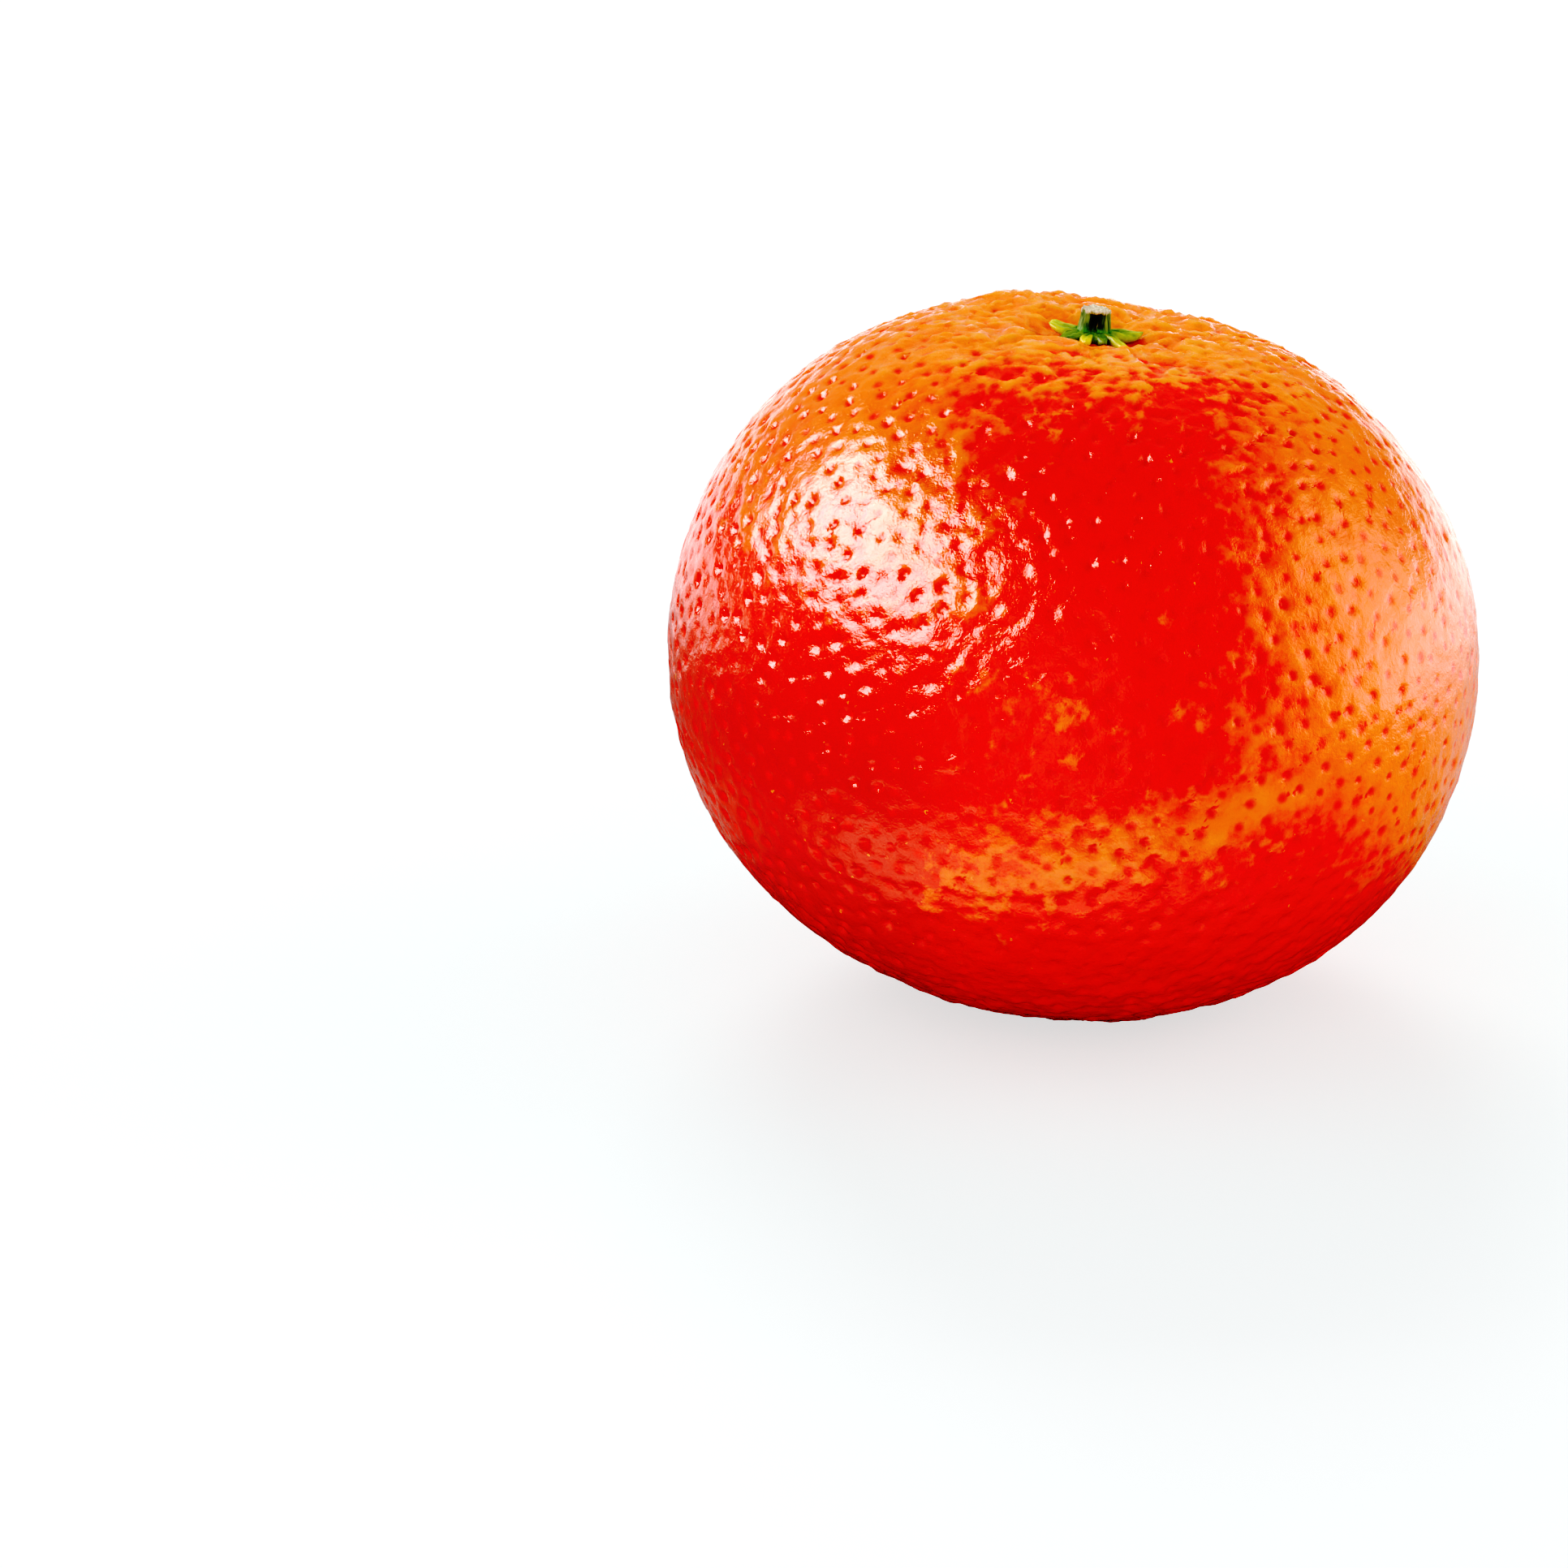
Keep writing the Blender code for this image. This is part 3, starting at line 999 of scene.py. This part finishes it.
# Of the cells of a Voronoi pattern, only those with a low random red get a freckle.
freckle_cells = {"Vector": place, "Scale": 1.0 / FRECKLE_SPACING}
freckle = add_node(tree, "ShaderNodeTexVoronoi", freckle_cells)
picked = out(add_node(tree, "ShaderNodeSeparateColor", {"Color": out(freckle, "Color")}), "Red")
freckle_far = sloping(tree, ease(tree, picked, 0.5, 0.6, 1.0, 0.0), 1.0, out(freckle, "Distance"))
# Painted glints: a few light flecks of orange.
painted_glint = ease(tree, noise_value(tree, place, GLINT_SIZE, 3.0, 0.6), 0.69, 0.73, 0.0, 0.7)
# Painted light: crests are paler where the skin rises, most on the cap.
crest_light = times(tree, ease(tree, rise, 0.05, 0.20), sloping(tree, cap, 0.4, 0.2))
crest_light = times(tree, crest_light, minus(tree, 1.0, painted_shade))
# Painted shade: each gland's pit is darker, less so near the stem.
pit_shade = ease(tree, pit_share, 0.2, 1.0, 1.0, 0.0)
pit_shade = times(tree, pit_shade, ease(tree, stem_far, 7 * MM, 18 * MM, 0.25, 0.8))
layers = [
    (deeper, DEEPER_ORANGE),
    (painted_shade, shaded_peel),
    (painted_shadow, SHADOW_RED),
    (painted_glint, GLINT_COLOUR),
    # Painted shade: valleys of the relief are redder.
    (ease(tree, rise, -0.24, 0.02, 0.5, 0.0), VALLEY_SHADE_COLOUR),
    (crest_light, CREST_LIGHT_COLOUR),
    # Painted shade in the two creases beside the calyx.
    (spot_round(left_crease, 0.4 * MM, 2.2 * MM, 0.85), CREASE_SHADE_COLOUR),
    (spot_round(right_crease, 0.4 * MM, 2.2 * MM, 0.85), CREASE_SHADE_COLOUR),
    (spot_round(blossom_end, 0.7 * MM, 1.3 * MM, 0.9), SCAR_COLOUR),
    (ease(tree, freckle_far, 0.010, 0.024, 0.8, 0.0), FRECKLE_COLOUR),
    (pit_shade, PIT_SHADE_COLOUR),
]
for layer_share, layer_colour in layers:
    colour = blend_colour(tree, layer_share, colour, layer_colour)
print("peel colour layers:", len(layers))

# %% [markdown]
# ### The relief and the shine
#
# The natural wax makes the peel shiny. One glossy layer with a high index of refraction gives a clear
# reflection, and the pits, fine grain and pebbles, which are bumps here, break it up. The pits are a
# little rougher.

# %% Peel: relief and shine
PEBBLE_SIZE, PEBBLE_HEIGHT = 0.75 * MM, 1.6
WAX_ROUGHNESS, PIT_ROUGHNESS = 0.14, 0.12
WAX_IOR = 1.62

grain = use_group(tree, fine_grain, Place=place, Per_metre=3200.0, Depth=0.9)
pit_height = times(tree, pit_mask, stored(tree, "gland_depth"), -1.0)
pebbles = noise_value(tree, place, PEBBLE_SIZE, 3.0, 0.6, 0.4)
relief = plus(tree, pit_height, out(grain, "Height"))
relief = sloping(tree, pebbles, PEBBLE_HEIGHT, relief)
rough = sloping(tree, pit_mask, PIT_ROUGHNESS, WAX_ROUGHNESS)
end_material(tree, colour, rough, relief, 0.05 * MM, IOR=WAX_IOR)
print("peel nodes:", len(tree.nodes))

# %% [markdown]
# ## Make the skin
#
# The tree runs on the smooth body. Its result is taken as a plain mesh, and the modifiers are
# dropped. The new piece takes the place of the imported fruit.

# %% Skin piece


def run_tree(body, tree, sockets, values, name):
    """Runs a geometry tree on an object and returns the result as a plain new object."""
    growth = body.modifiers.new(tree.name, "NODES")
    growth.node_group = tree
    for socket_name, value in values.items():
        growth[sockets[socket_name].identifier] = value
    bpy.context.view_layer.update()
    graph = bpy.context.evaluated_depsgraph_get()
    mesh = bpy.data.meshes.new_from_object(body.evaluated_get(graph))
    mesh.name = name
    body.modifiers.remove(growth)
    piece = bpy.data.objects.new(name, mesh)
    scene.collection.objects.link(piece)
    return piece


skin = run_tree(fruit_body, skin_tree, skin_sockets, {"Finish": peel}, "pitted_peel")
bpy.data.objects.remove(fruit_body)
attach(skin, "root")
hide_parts("fruit")
print("skin:", len(skin.data.vertices), "points,", len(skin.data.polygons), "faces")

# %% [markdown]
# ## The calyx
#
# The calyx is what is left of the flower: a small leathery star that stays on the fruit. It has five
# lobes, and no two are alike: one is plump and lifts at its tip, and the two in front are each torn
# into two narrow teeth. A star like this could be sculpted by hand. Here its outline is a rule, the
# reach in each direction, so that each lobe can be set by a few plain sizes. The star is a closed
# shell of rings, and a ray down to the skin gives each of its points the height of the peel under it.

# %% Calyx piece
CALYX_COLUMNS, CALYX_RINGS = 240, 18
CALYX_DISC = 2.15 * MM
RIB_HALF_WIDTH = math.radians(4.0)
PLAIN_YELLOW = 0.25
RIM_RAGGEDNESS = 0.08
# Heights in mm: the shell's thickness at its rim and above it, its wrinkles and its rib's dip.
RIM_HEIGHT, PLUMPNESS, WRINKLE_HEIGHT, RIB_DIP = 0.10, 0.62, 0.10, 0.12
WRINKLE_SIZE = 0.50 * MM
RAY_START_HEIGHT = 10 * MM
# Azimuth, reach and lift of the tip in mm, half width in degrees, bluntness, share of yellow.
CALYX_LOBES = [
    (9.0, 3.8, 0.35, 24.0, 0.8, 0.45),
    (95.0, 3.5, 0.05, 28.0, 1.0, 0.45),
    (176.0, 3.6, 1.00, 28.0, 0.35, 0.75),
    (221.0, 3.9, 0.15, 19.0, 0.6, 0.05),
    (252.0, 3.2, 0.10, 11.0, 0.3, 0.95),
    (284.0, 2.9, 0.05, 12.0, 0.5, 0.15),
    (313.0, 3.7, 0.10, 15.0, 0.8, 0.80),
]

skin_points = [tuple(point.co) for point in skin.data.vertices]
skin_faces = [tuple(face.vertices) for face in skin.data.polygons]
skin_surface = BVHTree.FromPolygons(skin_points, skin_faces)


def on_skin(x, y):
    """The skin's point at x, y across the core from the calyx's middle."""
    start = calyx_middle + core_side * x + core_back * y + core * RAY_START_HEIGHT
    return skin_surface.ray_cast(start, -core)[0]


def turn_between(first, second):
    return math.remainder(first - second, math.tau)


def lobe_facts(azimuth):
    """The reach, tip lift, rib share and yellow share of the calyx in a direction."""
    reach, lift, rib, yellow = CALYX_DISC, 0.0, 0.0, PLAIN_YELLOW
    for degrees, tip, tip_lift, half_width, bluntness, ripe in CALYX_LOBES:
        off = turn_between(azimuth, math.radians(degrees))
        across = abs(off) / math.radians(half_width)
        if across >= 1:
            continue
        swell = math.cos(across * math.pi / 2) ** bluntness
        reach = max(reach, CALYX_DISC + (tip * MM - CALYX_DISC) * swell)
        lift = max(lift, tip_lift * MM * swell)
        rib = max(rib, math.exp(-((off / RIB_HALF_WIDTH) ** 2)))
        yellow += (ripe - PLAIN_YELLOW) * min(1.0, swell * 1.6)
    ragged_rim = noise.noise(Vector((3.1 * math.cos(azimuth), 3.1 * math.sin(azimuth), 4.0)))
    return reach * (1 + RIM_RAGGEDNESS * ragged_rim), lift, rib, yellow


def calyx_point(azimuth, share, top):
    """A point of the calyx, and the share of yellow there."""
    reach, lift, rib, yellow = lobe_facts(azimuth)
    far = reach * share
    x, y = far * math.cos(azimuth), far * math.sin(azimuth)
    beyond = max(0.0, (far - CALYX_DISC * 0.6) / (reach - CALYX_DISC * 0.6))
    plump = PLUMPNESS * (1 - beyond**2.4) ** 0.5 + RIM_HEIGHT
    wrinkle = noise.noise(Vector((x, y, 0.0)) / WRINKLE_SIZE) * WRINKLE_HEIGHT
    dip = RIB_DIP * rib * beyond * (1 - beyond) * 4
    upper = (plump - dip + wrinkle * (1 - share**6)) * MM
    lower = -RIM_HEIGHT * MM + beyond**2 * RIM_HEIGHT * MM
    raised = lift * beyond**2.5
    return on_skin(x, y) + core * ((upper if top else lower) + raised), yellow


def ring_shell(columns, rings, point):
    """A closed shell of rings: from the top's middle out to the rim, and back in underneath."""
    shape = bmesh.new()
    share_layer = shape.verts.layers.float.new("rim_share")
    yellow_layer = shape.verts.layers.float.new("yellow_share")
    loops = []
    for top in (True, False):
        steps = range(1, rings + 1) if top else range(rings - 1, 0, -1)
        for step in steps:
            share = step / rings
            loop = []
            for column in range(columns):
                spot, yellow = point(column / columns * math.tau, share, top)
                vertex = shape.verts.new(spot)
                vertex[share_layer] = share
                vertex[yellow_layer] = yellow
                loop.append(vertex)
            loops.append(loop)
    for loop, following in zip(loops, loops[1:]):
        for i in range(columns):
            j = (i + 1) % columns
            shape.faces.new((loop[i], following[i], following[j], loop[j]))
    for loop, top in ((loops[0], True), (loops[-1], False)):
        middle = shape.verts.new(point(0.0, 0.0, top)[0])
        for i in range(columns):
            j = (i + 1) % columns
            corners = (loop[i], loop[j], middle) if top else (loop[j], loop[i], middle)
            shape.faces.new(corners)
    bmesh.ops.recalc_face_normals(shape, faces=shape.faces)
    return shape


def finish_piece(shape, name, material):
    """Turns a finished bmesh into a named, smooth-shaded object with a material."""
    mesh = bpy.data.meshes.new(name)
    shape.to_mesh(mesh)
    shape.free()
    mesh.shade_smooth()
    mesh.materials.append(material)
    piece = bpy.data.objects.new(name, mesh)
    scene.collection.objects.link(piece)
    return piece


# %% [markdown]
# ### The calyx's colours
#
# The star is dark green in the middle. Towards the rim its lobes turn bright green and yellow, each
# by its own share, and the ripest tips are yellow.

# %% Green material
DARK_GREENS = ((0.05, 0.12, 0.02, 1.0), (0.21, 0.30, 0.045, 1.0))
BRIGHT_GREENS = ((0.22, 0.34, 0.045, 1.0), (0.60, 0.58, 0.09, 1.0))
TIP_YELLOW = (0.86, 0.72, 0.07, 1.0)
LEAF_ROUGHNESS = 0.42

green, tree = new_material("calyx_green")
place = out(add_node(tree, "ShaderNodeTexCoord"), "Object")
rim = stored(tree, "rim_share")
yellow = stored(tree, "yellow_share")
dark_leaf = mottled(tree, place, *DARK_GREENS, 1500.0, 2.8)
bright_leaf = mottled(tree, place, *BRIGHT_GREENS, 1300.0, 2.8)
patchy = centred_noise(tree, place, 0.9 * MM, 3.0, 0.6)
outer = ease(tree, sloping(tree, patchy, 0.5, rim), 0.45, 0.80)
outer = times(tree, outer, ease(tree, sloping(tree, patchy, 0.8, yellow), 0.1, 0.6))
leaf_colour = blend_colour(tree, outer, dark_leaf, bright_leaf)
tip = times(tree, ease(tree, rim, 0.72, 1.0), ease(tree, yellow, 0.5, 1.0, 0.0, 0.85))
leaf_colour = blend_colour(tree, tip, leaf_colour, TIP_YELLOW)
grain = use_group(tree, fine_grain, Place=place, Per_metre=9000.0, Depth=1.0)
end_material(tree, leaf_colour, LEAF_ROUGHNESS, out(grain, "Height"), 0.03 * MM)

calyx = finish_piece(ring_shell(CALYX_COLUMNS, CALYX_RINGS, calyx_point), "calyx_star", green)
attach(calyx, "root")
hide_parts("calyx")
print("calyx:", len(calyx.data.vertices), "points")

# %% [markdown]
# ## The stem stub
#
# The picker cuts the stem just above the fruit. What stays is a low green post that widens into the
# calyx with a few buttresses, has ridges and fibres along it and a torn groove in front, and ends in a
# rough, pale, slightly hollow cut. It is a turned shape whose radius changes with direction and
# height, so rings of points are set out by a rule, as for the calyx. The shares of cut wood, of height
# and of groove are stored for the finish.

# %% Stem piece
STEM_COLUMNS, STEM_RINGS, CUT_RINGS = 96, 16, 9
STEM_FOOT_RADIUS = 1.36 * MM
STEM_TOP_RADIUS = 1.10 * MM
STEM_RIDGES, RIDGE_TURN, RIDGE_HEIGHT = 7, 1.1, 0.055 * MM
STEM_BUTTRESSES, BUTTRESS_TURN, BUTTRESS_TOP = 5, 0.6, 0.32
FLARE_REACH, BUTTRESS_REACH = 0.30 * MM, 0.22 * MM
FIBRE_HEIGHT, KNOT_HEIGHT = 0.13 * MM, 0.05 * MM
GROOVE_AZIMUTH, GROOVE_HALF_WIDTH = math.radians(-91.0), math.radians(34.0)
GROOVE_DEPTH = 0.62 * MM
CUT_ROUGHNESS, CUT_FIBRES, CUT_HOLLOW = 0.22 * MM, 0.10 * MM, 0.20 * MM
FOOT_ABOVE_SKIN, TOP_BELOW_BOX = 0.30 * MM, 0.05 * MM

stem_foot = on_skin(0.0, 0.0) + core * FOOT_ABOVE_SKIN
stem_top_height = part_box("stem_stub")[1].z - TOP_BELOW_BOX
stem_top = Vector((stem_middle.x, stem_middle.y, stem_top_height))
stem_line = stem_top - stem_foot
print("stem is", round(stem_line.length / MM, 2), "mm long")


def groove_share(azimuth, share):
    """How deep the torn groove is in a direction, from 0 to 1. It is open at the front."""
    off = turn_between(azimuth, GROOVE_AZIMUTH) / GROOVE_HALF_WIDTH
    along_post = max(0.0, math.sin(math.pi * min(1.0, share / 0.92 + 0.04))) ** 0.5
    return math.exp(-(off**4)) * along_post


def direction_of(azimuth):
    return Vector((math.cos(azimuth), math.sin(azimuth), 0.0))


def stem_reach(azimuth, share):
    """Radius of the stub in a direction, at a share of its height."""
    taper = STEM_TOP_RADIUS + (STEM_FOOT_RADIUS - STEM_TOP_RADIUS) * (1 - share) ** 1.3
    foot = max(0.0, 1 - share / BUTTRESS_TOP) ** 2
    buttresses = BUTTRESS_REACH * math.cos(STEM_BUTTRESSES * azimuth + BUTTRESS_TURN)
    flare = foot * (FLARE_REACH + buttresses)
    ridges = RIDGE_HEIGHT * math.cos(STEM_RIDGES * azimuth + RIDGE_TURN)
    around = direction_of(azimuth)
    fibres = noise.noise(around * 4.2 + Vector((0, 0, share * 0.8))) * FIBRE_HEIGHT
    knots = noise.noise(around * 9.0 + Vector((5.0, 0, share * 3.0))) * KNOT_HEIGHT
    groove = groove_share(azimuth, share) * GROOVE_DEPTH
    return taper + flare + ridges + fibres + knots - groove


def stem_rows():
    """Each ring as the share of its radius, of its height, and of cut wood."""
    for step in range(STEM_RINGS + 1):
        yield 1.0, step / STEM_RINGS, 0.0
    for step in range(1, CUT_RINGS):
        inwards = 1 - step / CUT_RINGS
        yield inwards, 1.0, 1.0


def stem_point(azimuth, width_share, height_share):
    """A point of the stub, whose cut top is rough and a little hollow."""
    reach = stem_reach(azimuth, height_share) * width_share
    around = direction_of(azimuth)
    rough_place = around * (1.6 * width_share + 0.4) + Vector((0, 9.0, 0))
    rough_top = noise.noise(rough_place) * CUT_ROUGHNESS
    fibre_ends = noise.noise(around * width_share * 7.0 + Vector((0, 0, 3.0))) * CUT_FIBRES
    hollow = CUT_HOLLOW * (1 - width_share**2) if height_share == 1.0 else 0.0
    rise = (rough_top + fibre_ends) * height_share**3 - hollow
    sideways = core_side * math.cos(azimuth) + core_back * math.sin(azimuth)
    return stem_foot + stem_line * height_share + core * rise + sideways * reach


def make_stem():
    """Rings of points joined to a closed shell, with the shares that the finish reads."""
    shape = bmesh.new()
    cut_layer = shape.verts.layers.float.new("cut_share")
    height_layer = shape.verts.layers.float.new("height_share")
    groove_layer = shape.verts.layers.float.new("groove_share")
    loops = []
    for width_share, height_share, cut in stem_rows():
        loop = []
        for column in range(STEM_COLUMNS):
            azimuth = column / STEM_COLUMNS * math.tau
            vertex = shape.verts.new(stem_point(azimuth, width_share, height_share))
            vertex[cut_layer] = cut
            vertex[height_layer] = height_share
            vertex[groove_layer] = 0.0 if cut else groove_share(azimuth, height_share)
            loop.append(vertex)
        loops.append(loop)
    for loop, following in zip(loops, loops[1:]):
        for i in range(STEM_COLUMNS):
            j = (i + 1) % STEM_COLUMNS
            shape.faces.new((loop[i], loop[j], following[j], following[i]))
    shape.faces.new(loops[0])
    top = shape.faces.new(loops[-1])
    bmesh.ops.poke(shape, faces=[top])
    bmesh.ops.recalc_face_normals(shape, faces=shape.faces)
    return shape


# %% [markdown]
# ### The stem's colours
#
# The bark is green with pale streaks along it, dark in the groove and greener at the foot. The cut
# top is pale wood, and its colour frays a little way down the post.

# %% Stem material
BARK_GREENS = ((0.035, 0.085, 0.018, 1.0), (0.21, 0.29, 0.10, 1.0))
CUT_WOOD = ((0.40, 0.30, 0.16, 1.0), (0.88, 0.80, 0.62, 1.0))
STREAK_COLOUR = (0.42, 0.50, 0.22, 1.0)
GROOVE_DARK, GROOVE_STREAK = (0.012, 0.022, 0.004, 1.0), (0.34, 0.30, 0.12, 1.0)
FOOT_COLOUR = (0.10, 0.30, 0.02, 1.0)
ALONG_STRETCH = (1.0, 1.0, 0.22)
BARK_ROUGHNESS = 0.6

bark, tree = new_material("stem_bark")
place = out(add_node(tree, "ShaderNodeTexCoord"), "Object")
along_stem = out(add_node(tree, "ShaderNodeMapping", {"Vector": place, "Scale": ALONG_STRETCH}))
skin_of_stem = mottled(tree, along_stem, *BARK_GREENS, 2600.0, 3.4)
cut_wood = mottled(tree, place, *CUT_WOOD, 5200.0, 2.6)
cut = stored(tree, "cut_share")
height = stored(tree, "height_share")
groove = stored(tree, "groove_share")
streak = ease(tree, noise_value(tree, along_stem, 0.55 * MM, 3.0, 0.6), 0.56, 0.66)
bark_colour = blend_colour(tree, times(tree, streak, 0.4), skin_of_stem, STREAK_COLOUR)
in_groove = blend_colour(tree, streak, GROOVE_DARK, GROOVE_STREAK)
bark_colour = blend_colour(tree, ease(tree, groove, 0.25, 0.75), bark_colour, in_groove)
foot_green = times(tree, ease(tree, height, 0.10, 0.42, 1.0, 0.0), 0.7)
bark_colour = blend_colour(tree, foot_green, bark_colour, FOOT_COLOUR)
frayed_height = sloping(tree, noise_value(tree, place, 0.35 * MM), 0.30, height)
pale = calc(tree, "MAXIMUM", cut, ease(tree, frayed_height, 0.98, 1.12))
stem_colour = blend_colour(tree, pale, bark_colour, cut_wood)
grain = use_group(tree, fine_grain, Place=along_stem, Per_metre=12000.0, Depth=1.0)
end_material(tree, stem_colour, BARK_ROUGHNESS, out(grain, "Height"), 0.05 * MM)

stem = finish_piece(make_stem(), "stem_post", bark)
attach(stem, "root")
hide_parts("stem_stub")
print("stem:", len(stem.data.vertices), "points")
